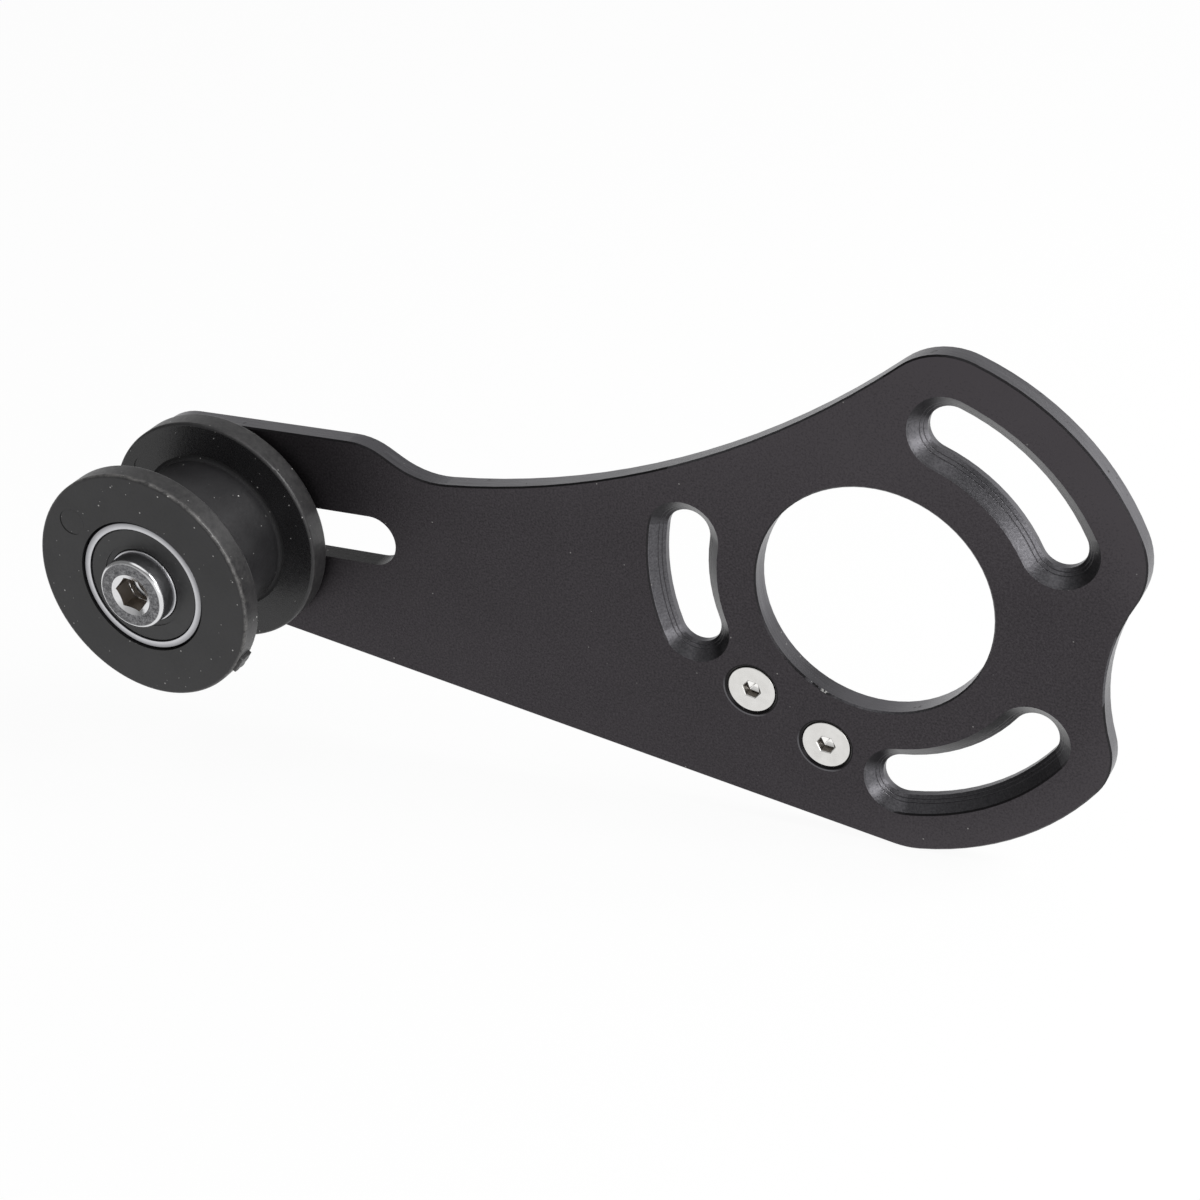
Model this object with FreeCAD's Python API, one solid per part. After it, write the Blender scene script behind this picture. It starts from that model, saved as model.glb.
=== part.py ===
import FreeCAD, Part
import math
import os

# A bicycle chain guide: a slotted alloy plate that bolts to three bosses round the bottom bracket,
# and a grooved roller on two sealed ball bearings, clamped in the slot at the end of the plate's arm.
# Millimetres. +X runs along the arm slot towards the bottom bracket, -Y faces outboard, +Z is up.
# The origin is the centre of the bore on the plate's back face, which seats on the bosses.

# Plate outline: an arm, a shoulder, a long hollow sweep up to a round head, a notch and a straight underside
PLATE_THICK = 3.3
PLATE_EDGE_BREAK = 0.25
BORE_DIA = 35.6
LOBE_R = 41.0
ARM_END_X = -124.0
ARM_TOP_Z = 13.4
ARM_CORNER_R = 10.0
SHOULDER_X = -81.7
SHOULDER_FALL_DEG = 31.7
SHOULDER_R = 11.0
SHOULDER_FOOT_R = 14.6
SWEEP_LOW_X = -78.4
SWEEP_LOW_Z = 8.0
SWEEP_R = 135.0
CREST_R = 10.5
NOTCH_DEPTH = 7.65
NOTCH_MID_Z = -9.0
NOTCH_R = 30.0
NOTCH_TOP_R = 11.0
NOTCH_FOOT_R = 9.5
UNDERSIDE_INSET = 1.57
UNDERSIDE_FALL_DEG = 10.1
HEEL_R = 12.0

# Curved boss slots: one circle, a straight wall at the back and a countersink that opens outboard
BOSS_CIRCLE_DIA = 59.0
BOSS_SLOT_WIDTH = 6.8
BOSS_SLOT_LAND = 1.05
COUNTERSINK_HALF_DEG = 45.0
UPPER_SLOT_DEG = (24.6, 67.7)
LEFT_SLOT_DEG = (168.7, 198.0)
LOWER_SLOT_DEG = (276.9, 321.8)

# Arm slot, in which the roller is set along the arm
ARM_SLOT_Z = -3.3
ARM_SLOT_LEFT_X = -116.5
ARM_SLOT_RIGHT_X = -78.5
ROLLER_X = -109.2

# Two flat-headed socket screws between the left and the lower boss slot, with nuts behind the plate
SCREW_CIRCLE_R = 26.55
UPPER_SCREW_DEG = 222.95
LOWER_SCREW_DEG = 252.6
SCREW_DIA = 4.0
SCREW_HEAD_DIA = 7.5
SCREW_HEAD_RIM = 0.2
SCREW_SINK = 0.15
SCREW_KEY = 2.5
SCREW_KEY_DEPTH = 1.3
UPPER_SCREW_KEY_TURN_DEG = 47.0
LOWER_SCREW_KEY_TURN_DEG = 54.0
SCREW_TAIL = 0.6
SCREW_NUT_ACROSS = 7.0
SCREW_NUT_HEIGHT = 3.2

# Ball bearings, eight millimetre bore, rubber sealed on both sides
BEARING_BORE = 8.0
BEARING_DIA = 22.0
BEARING_WIDTH = 7.0
BEARING_CHAMFER = 0.4
SEAL_SINK = 0.2
SEAL_THICK = 0.55
SEAL_RIM_BEVEL = 0.25
SEAL_SEAT_STEP = 0.72
SEAL_LIP_WIDTH = 0.9
SEAL_LIP_STEP = 0.12
SEAL_LIP_GAP = 0.1
BALL_DIA = 3.969
BALL_CIRCLE_DIA = 15.0
BALL_COUNT = 7
BALL_GAP = 0.06
RING_SHOULDER = 1.45
CAGE_RING_GAP = 0.6
CAGE_WEB = 0.35
CAGE_OPEN_SIDE = 0.9
CAGE_POCKET_GAP = 0.08
INNER_RING_DIA = BALL_CIRCLE_DIA - 2 * RING_SHOULDER
OUTER_RING_INNER_DIA = BALL_CIRCLE_DIA + 2 * RING_SHOULDER
SEAL_SEAT_DIA = OUTER_RING_INNER_DIA + 2 * SEAL_SEAT_STEP
SEAL_LIP_DIA = INNER_RING_DIA + 2 * SEAL_LIP_WIDTH

# Roller, one moulding with two flanges and a groove for the chain
ROLLER_FLANGE_DIA = 37.5
ROLLER_FLANGE_THICK = 3.9
ROLLER_GROOVE_DIA = 25.2
ROLLER_GROOVE_FILLET = 0.4
ROLLER_RIM_R = 0.5
ROLLER_SHOULDER_DIA = 19.0
BEARING_SINK = 0.3

# Sleeve nut, spacers, washer and clamp bolt that carry the roller
INNER_SPACER_LENGTH = 8.5
INNER_SPACER_DIA = 11.0
REAR_SPACER_LENGTH = 1.6
REAR_SPACER_DIA = 12.0
NUT_HEAD_DIA = 11.5
NUT_HEAD_HEIGHT = 3.1
NUT_HEAD_ROUND = 0.55
NUT_KEY = 5.06
NUT_KEY_DEPTH = 3.2
NUT_KEY_TURN_DEG = -12.0
NUT_KEY_MOUTH_DIA = 6.9
NUT_END_SHORT = 0.4
BOLT_DIA = 6.0
BOLT_PITCH = 1.0
BOLT_LENGTH = 20.0
BOLT_HEAD_DIA = 10.5
BOLT_HEAD_HEIGHT = 3.3
BOLT_HEAD_CROWN_DIA = 6.4
BOLT_KEY = 4.0
BOLT_KEY_DEPTH = 2.0
WASHER_DIA = 12.0
WASHER_THICK = 1.6

# Fits, as gaps on the radius, and the sizes that follow from them
SEAT_GAP = 0.02
ARM_SLOT_GAP = 0.2
SCREW_HOLE_GAP = 0.15
WASHER_GAP = 0.2
ARM_SLOT_WIDTH = BEARING_BORE + 2 * ARM_SLOT_GAP
SCREW_HOLE_DIA = SCREW_DIA + 2 * SCREW_HOLE_GAP
WASHER_HOLE_DIA = BOLT_DIA + 2 * WASHER_GAP
NUT_TAP_DRILL_DIA = BOLT_DIA - BOLT_PITCH

# Modelling allowances
CUT_OVER = 1.0
TINY = 1e-4

# Stations along Y, from the plate outboard
PLATE_BACK = 0.0
PLATE_FRONT = PLATE_BACK - PLATE_THICK
REAR_BEARING_BACK = PLATE_FRONT - REAR_SPACER_LENGTH
REAR_BEARING_FRONT = REAR_BEARING_BACK - BEARING_WIDTH
FRONT_BEARING_BACK = REAR_BEARING_FRONT - INNER_SPACER_LENGTH
FRONT_BEARING_FRONT = FRONT_BEARING_BACK - BEARING_WIDTH
ROLLER_BACK = REAR_BEARING_BACK + BEARING_SINK
ROLLER_FRONT = FRONT_BEARING_FRONT - BEARING_SINK
NUT_FACE = FRONT_BEARING_FRONT - NUT_HEAD_HEIGHT
WASHER_BACK = PLATE_BACK + WASHER_THICK

OUTBOARD = FreeCAD.Vector(0, -1, 0)
ORIGIN = FreeCAD.Vector(0, 0, 0)
ROLLER_AXIS = (ROLLER_X, ARM_SLOT_Z)


def on_plate(x, z, y=PLATE_BACK):
    """A point given by its place on the plate."""
    return FreeCAD.Vector(x, y, z)


def polar(radius, degrees):
    """X and Z of a point round the bore, counted up from +X as seen from outboard."""
    angle = math.radians(degrees)
    return radius * math.cos(angle), radius * math.sin(angle)


def turned(profile, axis=(0.0, 0.0), degrees=360.0):
    """A solid turned from (radius, y) points about an axis through (x, z) along Y."""
    points = [FreeCAD.Vector(axis[0] + radius, y, axis[1]) for radius, y in profile]
    face = Part.Face(Part.makePolygon(points + points[:1]))
    return face.revolve(on_plate(*axis), OUTBOARD, degrees)


def ring(inner_dia, outer_dia, y_a, y_b, axis):
    """A plain tube along Y between two stations."""
    inner, outer = inner_dia / 2, outer_dia / 2
    return turned([(inner, y_a), (outer, y_a), (outer, y_b), (inner, y_b)], axis)


def rod(dia, y_a, y_b, axis):
    """A plain cylinder along Y between two stations."""
    return turned([(0, y_a), (dia / 2, y_a), (dia / 2, y_b), (0, y_b)], axis)


def hexagon(across_flats, y_a, y_b, axis, turn_deg=0.0):
    """A hexagonal prism along Y between two stations."""
    corner = across_flats / math.sqrt(3)
    points = []
    for i in range(6):
        x, z = polar(corner, turn_deg + 60 * i)
        points.append(on_plate(axis[0] + x, axis[1] + z, y_a))
    face = Part.Face(Part.makePolygon(points + points[:1]))
    return face.extrude(FreeCAD.Vector(0, y_b - y_a, 0))


def circle_edges(solid, dia, stations):
    """The round edges of a turned piece that have this diameter at these stations."""
    found = []
    for edge in solid.Edges:
        if not isinstance(edge.Curve, Part.Circle):
            continue
        same_dia = abs(2 * edge.Curve.Radius - dia) < TINY
        if same_dia and min(abs(edge.Curve.Center.y - y) for y in stations) < TINY:
            found.append(edge)
    return found


def circles_meet(centre_a, radius_a, centre_b, radius_b, side):
    """Where two circles cross, on the left (+1) or right (-1) of the way from a to b."""
    dx, dz = centre_b[0] - centre_a[0], centre_b[1] - centre_a[1]
    apart = math.hypot(dx, dz)
    along = (radius_a ** 2 - radius_b ** 2 + apart ** 2) / (2 * apart)
    off = side * math.sqrt(radius_a ** 2 - along ** 2)
    return (centre_a[0] + (along * dx - off * dz) / apart, centre_a[1] + (along * dz + off * dx) / apart)


def line_meets_circle(start, fall_deg, centre, radius, side):
    """Where a line that falls towards +X crosses a circle: first (-1) or second (+1) crossing."""
    ux, uz = math.cos(math.radians(fall_deg)), -math.sin(math.radians(fall_deg))
    dx, dz = start[0] - centre[0], start[1] - centre[1]
    middle = dx * ux + dz * uz
    step = -middle + side * math.sqrt(middle ** 2 - dx ** 2 - dz ** 2 + radius ** 2)
    return start[0] + step * ux, start[1] + step * uz


def arc(a, b, centre, radius):
    """The shorter arc from a to b on a circle."""
    mid_x, mid_z = (a[0] + b[0]) / 2 - centre[0], (a[1] + b[1]) / 2 - centre[1]
    reach = radius / math.hypot(mid_x, mid_z)
    middle = on_plate(centre[0] + mid_x * reach, centre[1] + mid_z * reach)
    return Part.Arc(on_plate(*a), middle, on_plate(*b)).toShape()


def straight(a, b):
    """A straight edge of the plate."""
    return Part.LineSegment(on_plate(*a), on_plate(*b)).toShape()


def plate_blank():
    """The plate's outline, extruded, with its corners rounded and its outer edges broken."""
    bore_centre = (0.0, 0.0)
    sweep_centre = (SWEEP_LOW_X, SWEEP_LOW_Z + SWEEP_R)
    notch_centre = (LOBE_R - NOTCH_DEPTH + NOTCH_R, NOTCH_MID_Z)
    fall = math.radians(UNDERSIDE_FALL_DEG)
    underside_z = -(LOBE_R - UNDERSIDE_INSET) / math.cos(fall)
    underside_start = (0.0, underside_z)
    arm_bottom_z = underside_z - ARM_END_X * math.tan(fall)
    arm_top = (ARM_END_X, ARM_TOP_Z)
    shoulder = (SHOULDER_X, ARM_TOP_Z)
    foot = line_meets_circle(shoulder, SHOULDER_FALL_DEG, sweep_centre, SWEEP_R, 1)
    crest = circles_meet(bore_centre, LOBE_R, sweep_centre, SWEEP_R, -1)
    notch_top = circles_meet(bore_centre, LOBE_R, notch_centre, NOTCH_R, 1)
    notch_foot = circles_meet(bore_centre, LOBE_R, notch_centre, NOTCH_R, -1)
    heel = line_meets_circle(underside_start, UNDERSIDE_FALL_DEG, bore_centre, LOBE_R, 1)
    arm_bottom = (ARM_END_X, arm_bottom_z)
    outline = Part.Wire([
        straight(arm_top, shoulder),
        straight(shoulder, foot),
        arc(foot, crest, sweep_centre, SWEEP_R),
        arc(crest, notch_top, bore_centre, LOBE_R),
        arc(notch_top, notch_foot, notch_centre, NOTCH_R),
        arc(notch_foot, heel, bore_centre, LOBE_R),
        straight(heel, arm_bottom),
        straight(arm_bottom, arm_top),
    ])
    blank = Part.Face(outline).extrude(OUTBOARD * PLATE_THICK)
    corners = [
        (arm_top, ARM_CORNER_R), (shoulder, SHOULDER_R), (foot, SHOULDER_FOOT_R), (crest, CREST_R),
        (notch_top, NOTCH_TOP_R), (notch_foot, NOTCH_FOOT_R), (heel, HEEL_R), (arm_bottom, ARM_CORNER_R),
    ]
    for (x, z), radius in corners:
        upright = [e for e in blank.Edges if all(math.hypot(v.X - x, v.Z - z) < TINY for v in e.Vertexes)]
        blank = blank.makeFillet(radius, upright)
    rims = [e for e in blank.Edges if len({round(v.Y, 3) for v in e.Vertexes}) == 1]
    return blank.makeChamfer(PLATE_EDGE_BREAK, rims)


def boss_slot(span_deg):
    """The cutter of one curved slot: a band round the bore with a turned end at each side."""
    flare = math.tan(math.radians(COUNTERSINK_HALF_DEG))
    half = BOSS_SLOT_WIDTH / 2
    land_y = PLATE_BACK - BOSS_SLOT_LAND
    mouth_y = PLATE_FRONT - CUT_OVER
    mouth_half = half + (land_y - mouth_y) * flare
    side = [(half, PLATE_BACK + CUT_OVER), (half, land_y), (mouth_half, mouth_y)]
    circle_r = BOSS_CIRCLE_DIA / 2
    outer_wall = [(circle_r + r, y) for r, y in side]
    inner_wall = [(circle_r - r, y) for r, y in reversed(side)]
    start_deg, end_deg = span_deg
    cutter = turned(outer_wall + inner_wall, degrees=end_deg - start_deg)
    cutter.rotate(ORIGIN, OUTBOARD, start_deg)
    for degrees in span_deg:
        end = turned(side + [(0, mouth_y), (0, PLATE_BACK + CUT_OVER)], polar(circle_r, degrees))
        cutter = cutter.fuse(end)
    return cutter


def arm_slot():
    """The cutter of the straight slot along the arm."""
    half = ARM_SLOT_WIDTH / 2
    back, front = PLATE_BACK + CUT_OVER, PLATE_FRONT - CUT_OVER
    left, right = ARM_SLOT_LEFT_X + half, ARM_SLOT_RIGHT_X - half
    corner = on_plate(left, ARM_SLOT_Z - half, front)
    cutter = Part.makeBox(right - left, back - front, ARM_SLOT_WIDTH, corner)
    for x in (left, right):
        cutter = cutter.fuse(rod(ARM_SLOT_WIDTH, back, front, (x, ARM_SLOT_Z)))
    return cutter


def screw_stations():
    """Where a flat head's face, the end of its rim and the end of its cone lie."""
    face = PLATE_FRONT + SCREW_SINK
    rim_end = face + SCREW_HEAD_RIM
    cone_end = rim_end + (SCREW_HEAD_DIA - SCREW_DIA) / 2
    return face, rim_end, cone_end


def screw_hole(axis):
    """The cutter of a countersunk hole in which the cone of a flat head seats."""
    _, rim_end, _ = screw_stations()
    mouth_y = PLATE_FRONT - CUT_OVER
    mouth_r = SCREW_HEAD_DIA / 2 + SEAT_GAP + rim_end - mouth_y
    hole_r = SCREW_HOLE_DIA / 2
    cone_foot_y = mouth_y + mouth_r - hole_r
    back = PLATE_BACK + CUT_OVER
    return turned([(0, back), (hole_r, back), (hole_r, cone_foot_y), (mouth_r, mouth_y), (0, mouth_y)], axis)


def make_plate():
    """The plate with its bore, slots and screw holes."""
    bore_r = BORE_DIA / 2
    back, front = PLATE_BACK + CUT_OVER, PLATE_FRONT - CUT_OVER
    broken_r = bore_r + PLATE_EDGE_BREAK + CUT_OVER
    wall_end = PLATE_FRONT + PLATE_EDGE_BREAK
    bore = turned([(0, back), (bore_r, back), (bore_r, wall_end), (broken_r, front), (0, front)])
    cutters = [bore, arm_slot()]
    cutters += [boss_slot(span) for span in (UPPER_SLOT_DEG, LEFT_SLOT_DEG, LOWER_SLOT_DEG)]
    cutters += [screw_hole(polar(SCREW_CIRCLE_R, degrees)) for degrees in (UPPER_SCREW_DEG, LOWER_SCREW_DEG)]
    plate = plate_blank()
    for cutter in cutters:
        plate = plate.cut(cutter)
    return plate


def make_flat_screw(axis, key_turn_deg):
    """A flat-headed socket screw that ends just past its nut."""
    face, rim_end, cone_end = screw_stations()
    head_r, shank_r = SCREW_HEAD_DIA / 2, SCREW_DIA / 2
    tip = PLATE_BACK + SCREW_NUT_HEIGHT + SCREW_TAIL
    screw = turned([(0, face), (head_r, face), (head_r, rim_end), (shank_r, cone_end),
                    (shank_r, tip), (0, tip)], axis)
    return screw.cut(hexagon(SCREW_KEY, face - CUT_OVER, face + SCREW_KEY_DEPTH, axis, key_turn_deg))


def make_screw_nut(axis):
    """A hexagon nut against the plate's back face, its corners chamfered on the far side."""
    far = PLATE_BACK + SCREW_NUT_HEIGHT
    flat_r, corner_r = SCREW_NUT_ACROSS / 2, SCREW_NUT_ACROSS / math.sqrt(3)
    cone = turned([(0, PLATE_BACK), (corner_r, PLATE_BACK), (corner_r, far - (corner_r - flat_r)),
                   (flat_r, far), (0, far)], axis)
    nut = hexagon(SCREW_NUT_ACROSS, PLATE_BACK, far, axis).common(cone)
    return nut.cut(rod(SCREW_DIA + 2 * SEAT_GAP, PLATE_BACK - CUT_OVER, far + CUT_OVER, axis))


def make_roller():
    """The moulded roller: two flanges, a filleted groove and a seat for a bearing at each end."""
    flange_r, groove_r = ROLLER_FLANGE_DIA / 2, ROLLER_GROOVE_DIA / 2
    seat_r, shoulder_r = BEARING_DIA / 2 + SEAT_GAP, ROLLER_SHOULDER_DIA / 2
    groove_back = ROLLER_BACK - ROLLER_FLANGE_THICK
    groove_front = ROLLER_FRONT + ROLLER_FLANGE_THICK
    roller = turned([
        (seat_r, ROLLER_BACK), (flange_r, ROLLER_BACK), (flange_r, groove_back), (groove_r, groove_back),
        (groove_r, groove_front), (flange_r, groove_front), (flange_r, ROLLER_FRONT), (seat_r, ROLLER_FRONT),
        (seat_r, FRONT_BEARING_BACK), (shoulder_r, FRONT_BEARING_BACK),
        (shoulder_r, REAR_BEARING_FRONT), (seat_r, REAR_BEARING_FRONT),
    ], ROLLER_AXIS)
    roller = roller.makeFillet(ROLLER_GROOVE_FILLET,
                               circle_edges(roller, ROLLER_GROOVE_DIA, (groove_back, groove_front)))
    rim_stations = (ROLLER_BACK, groove_back, groove_front, ROLLER_FRONT)
    return roller.makeFillet(ROLLER_RIM_R, circle_edges(roller, ROLLER_FLANGE_DIA, rim_stations))


def race_groove():
    """The ring-shaped cutter of the ball track, with running room round the balls."""
    return Part.makeTorus(BALL_CIRCLE_DIA / 2, BALL_DIA / 2 + BALL_GAP, ORIGIN, OUTBOARD)


def make_inner_ring():
    """A bearing's inner ring, its middle at the origin."""
    half, axis = BEARING_WIDTH / 2, (0.0, 0.0)
    blank = ring(BEARING_BORE, INNER_RING_DIA, -half, half, axis)
    blank = blank.makeChamfer(BEARING_CHAMFER, circle_edges(blank, BEARING_BORE, (-half, half)))
    return blank.cut(race_groove())


def make_outer_ring():
    """A bearing's outer ring with a seat for a seal in each face."""
    half, axis = BEARING_WIDTH / 2, (0.0, 0.0)
    seat_depth = SEAL_SINK + SEAL_THICK
    blank = ring(OUTER_RING_INNER_DIA, BEARING_DIA, -half, half, axis)
    blank = blank.makeChamfer(BEARING_CHAMFER, circle_edges(blank, BEARING_DIA, (-half, half)))
    for side in (-1, 1):
        seat = rod(SEAL_SEAT_DIA, side * (half - seat_depth), side * (half + CUT_OVER), axis)
        blank = blank.cut(seat)
    return blank.cut(race_groove())


def make_seal():
    """The outboard seal: a rubber disc, bevelled at its rim, with a thinner lip close to the inner ring."""
    face = -BEARING_WIDTH / 2 + SEAL_SINK
    back = face + SEAL_THICK
    lip_r = INNER_RING_DIA / 2 + SEAL_LIP_GAP
    step_r = SEAL_LIP_DIA / 2
    rim_r = SEAL_SEAT_DIA / 2 - SEAT_GAP
    return turned([(lip_r, face + SEAL_LIP_STEP), (step_r, face + SEAL_LIP_STEP), (step_r, face),
                   (rim_r - SEAL_RIM_BEVEL, face), (rim_r, face + SEAL_RIM_BEVEL),
                   (rim_r, back), (lip_r, back)])


def ball_centres():
    """The balls' places round the bearing."""
    spots = [polar(BALL_CIRCLE_DIA / 2, 360 * i / BALL_COUNT) for i in range(BALL_COUNT)]
    return [FreeCAD.Vector(x, 0, z) for x, z in spots]


def make_balls():
    """The balls, as separate solids."""
    return Part.makeCompound([Part.makeSphere(BALL_DIA / 2, centre) for centre in ball_centres()])


def make_cage():
    """A crown cage: a ring behind the balls whose pockets snap over them from one side."""
    pocket_r = BALL_DIA / 2 + CAGE_POCKET_GAP
    inner_dia = INNER_RING_DIA + 2 * CAGE_RING_GAP
    outer_dia = OUTER_RING_INNER_DIA - 2 * CAGE_RING_GAP
    cage = ring(inner_dia, outer_dia, -CAGE_OPEN_SIDE, pocket_r + CAGE_WEB, (0.0, 0.0))
    for centre in ball_centres():
        cage = cage.cut(Part.makeSphere(pocket_r, centre, centre))
    return cage


def make_bearing(outboard_face, turned_round):
    """The pieces of one bearing on the roller's axis, with its cage's open side outboard or turned round."""
    middle = on_plate(*ROLLER_AXIS, y=outboard_face + BEARING_WIDTH / 2)
    inner_seal = make_seal()
    inner_seal.rotate(ORIGIN, FreeCAD.Vector(0, 0, 1), 180)
    pieces = {"outer_ring": make_outer_ring(), "inner_ring": make_inner_ring(), "balls": make_balls(),
              "cage": make_cage(), "outer_seal": make_seal(), "inner_seal": inner_seal}
    for piece in pieces.values():
        if turned_round:
            piece.rotate(ORIGIN, FreeCAD.Vector(0, 0, 1), 180)
        piece.translate(middle)
    return pieces


def make_sleeve_nut():
    """The headed sleeve that the bearings sit on: a hexagon key socket in front, tapped from behind."""
    head_r, barrel_r = NUT_HEAD_DIA / 2, BEARING_BORE / 2 - SEAT_GAP
    end = PLATE_BACK - NUT_END_SHORT
    nut = turned([(0, NUT_FACE), (head_r, NUT_FACE), (head_r, FRONT_BEARING_FRONT),
                  (barrel_r, FRONT_BEARING_FRONT), (barrel_r, end), (0, end)], ROLLER_AXIS)
    nut = nut.makeFillet(NUT_HEAD_ROUND, circle_edges(nut, NUT_HEAD_DIA, (NUT_FACE,)))
    mouth_r = NUT_KEY_MOUTH_DIA / 2
    outside = NUT_FACE - CUT_OVER
    mouth = turned([(0, NUT_FACE + mouth_r), (mouth_r + CUT_OVER, outside), (0, outside)], ROLLER_AXIS)
    thread_end = WASHER_BACK - BOLT_LENGTH - CUT_OVER
    key_end = NUT_FACE + NUT_KEY_DEPTH
    key = hexagon(NUT_KEY, outside, key_end, ROLLER_AXIS, NUT_KEY_TURN_DEG)
    drill = rod(NUT_TAP_DRILL_DIA, NUT_FACE, end + CUT_OVER, ROLLER_AXIS)
    thread = rod(BOLT_DIA + 2 * SEAT_GAP, thread_end, end + CUT_OVER, ROLLER_AXIS)
    for cutter in (mouth, key, drill, thread):
        nut = nut.cut(cutter)
    return nut


def make_clamp_bolt():
    """The button-headed bolt that draws the sleeve nut against the plate from behind."""
    under = WASHER_BACK
    top = under + BOLT_HEAD_HEIGHT
    head_r, crown_r = BOLT_HEAD_DIA / 2, BOLT_HEAD_CROWN_DIA / 2
    dome_drop = (head_r ** 2 - crown_r ** 2 - BOLT_HEAD_HEIGHT ** 2) / (2 * BOLT_HEAD_HEIGHT)
    dome = Part.makeSphere(math.hypot(head_r, dome_drop), on_plate(*ROLLER_AXIS, y=under - dome_drop))
    head = rod(BOLT_HEAD_DIA, under, top, ROLLER_AXIS).common(dome)
    bolt = head.fuse(rod(BOLT_DIA, under - BOLT_LENGTH, under, ROLLER_AXIS)).removeSplitter()
    return bolt.cut(hexagon(BOLT_KEY, top - BOLT_KEY_DEPTH, top + CUT_OVER, ROLLER_AXIS))


def make_parts():
    """Every piece by the name of its node."""
    upper_screw_axis = polar(SCREW_CIRCLE_R, UPPER_SCREW_DEG)
    lower_screw_axis = polar(SCREW_CIRCLE_R, LOWER_SCREW_DEG)
    sleeve_hole = BEARING_BORE
    bearing_rows = (("front", FRONT_BEARING_FRONT, False), ("rear", REAR_BEARING_FRONT, True))
    parts = {
        "plate": make_plate(),
        "upper_flat_screw": make_flat_screw(upper_screw_axis, UPPER_SCREW_KEY_TURN_DEG),
        "lower_flat_screw": make_flat_screw(lower_screw_axis, LOWER_SCREW_KEY_TURN_DEG),
        "upper_screw_nut": make_screw_nut(upper_screw_axis),
        "lower_screw_nut": make_screw_nut(lower_screw_axis),
        "roller": make_roller(),
        "inner_spacer": ring(sleeve_hole, INNER_SPACER_DIA, REAR_BEARING_FRONT, FRONT_BEARING_BACK,
                             ROLLER_AXIS),
        "rear_spacer": ring(sleeve_hole, REAR_SPACER_DIA, PLATE_FRONT, REAR_BEARING_BACK, ROLLER_AXIS),
        "sleeve_nut": make_sleeve_nut(),
        "clamp_bolt": make_clamp_bolt(),
        "clamp_washer": ring(WASHER_HOLE_DIA, WASHER_DIA, PLATE_BACK, WASHER_BACK, ROLLER_AXIS),
    }
    for side, face, turned_round in bearing_rows:
        for name, piece in make_bearing(face, turned_round).items():
            parts[f"{side}_bearing_{name}"] = piece
    return parts


os.makedirs("parts", exist_ok=True)
for node, shape in make_parts().items():
    shape.exportStep(f"parts/{node}.step")
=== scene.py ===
import math

import bmesh
import bpy
from mathutils import Matrix, Vector


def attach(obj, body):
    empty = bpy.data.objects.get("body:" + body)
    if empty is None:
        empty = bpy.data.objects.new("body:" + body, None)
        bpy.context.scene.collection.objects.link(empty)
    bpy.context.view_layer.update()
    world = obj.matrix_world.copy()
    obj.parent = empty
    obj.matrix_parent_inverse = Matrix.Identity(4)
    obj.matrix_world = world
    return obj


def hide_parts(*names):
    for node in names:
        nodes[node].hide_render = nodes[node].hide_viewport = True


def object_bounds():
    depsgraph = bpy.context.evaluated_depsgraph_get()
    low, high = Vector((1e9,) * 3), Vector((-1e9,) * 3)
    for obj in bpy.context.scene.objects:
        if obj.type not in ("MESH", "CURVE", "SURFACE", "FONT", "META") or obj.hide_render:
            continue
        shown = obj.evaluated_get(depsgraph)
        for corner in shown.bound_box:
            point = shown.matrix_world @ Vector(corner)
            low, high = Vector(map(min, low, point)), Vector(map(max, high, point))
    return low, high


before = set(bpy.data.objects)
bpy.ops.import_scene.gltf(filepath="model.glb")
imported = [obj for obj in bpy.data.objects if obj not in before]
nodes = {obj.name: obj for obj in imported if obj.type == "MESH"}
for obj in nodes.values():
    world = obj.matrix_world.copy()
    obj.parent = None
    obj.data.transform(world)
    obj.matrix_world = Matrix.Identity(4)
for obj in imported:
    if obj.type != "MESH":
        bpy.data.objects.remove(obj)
cad_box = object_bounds()

# The plate: flat aluminium, cut to outline and countersunk on a mill, then bead blasted and anodised black.
# Its faces are grainy and dull, its cut walls smoother and striped, and its countersinks keep tool lines.
# The bore's front edge is chipped to bare metal low on the left, and a little dust lies on the face.
mm = 0.001
FACE_DARK = (0.034, 0.0303, 0.0340, 1)
FACE_LIGHT = (0.066, 0.0598, 0.0655, 1)
CUT_DARK = (0.090, 0.088, 0.096, 1)
CUT_LIGHT = (0.160, 0.157, 0.168, 1)
# A painted-light tone for the cut walls:
PAINTED_LIT_CUT = (0.170, 0.166, 0.178, 1)
SHADED_CUT = (0.014, 0.013, 0.014, 1)
BARE_METAL = (0.72, 0.71, 0.69, 1)
PLATE_DUST = (0.36, 0.35, 0.34, 1)
BLAST_GRAINS, BLAST_DEPTH = 3000, 0.04
# Where painted light lies on the face, towards the head's top and rim:
HEAD_X, HEAD_TOP_Z, HEAD_RIM_R = (-20.0, 5.0), (4.0, 24.0), (33.0, 40.0)
# Where a painted highlight lies on a countersink, and how far it reaches:
LIT_SPOT_PLACE, LIT_SPOT_REACH = (11.2, 27.3), (6.2, 4.6)
TOOL_STEPS_Y, TOOL_STEP_WIDTHS = (-1.92, -1.49), (0.03, 0.07)
ARM_SLOT_MIDDLE, ARM_SLOT_HALF = (-97.5, -3.3), (19.6, 4.35)
SCREW_PLACES = {"upper_flat_screw": (-19.432, -18.092), "lower_flat_screw": (-7.940, -25.335)}
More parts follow.
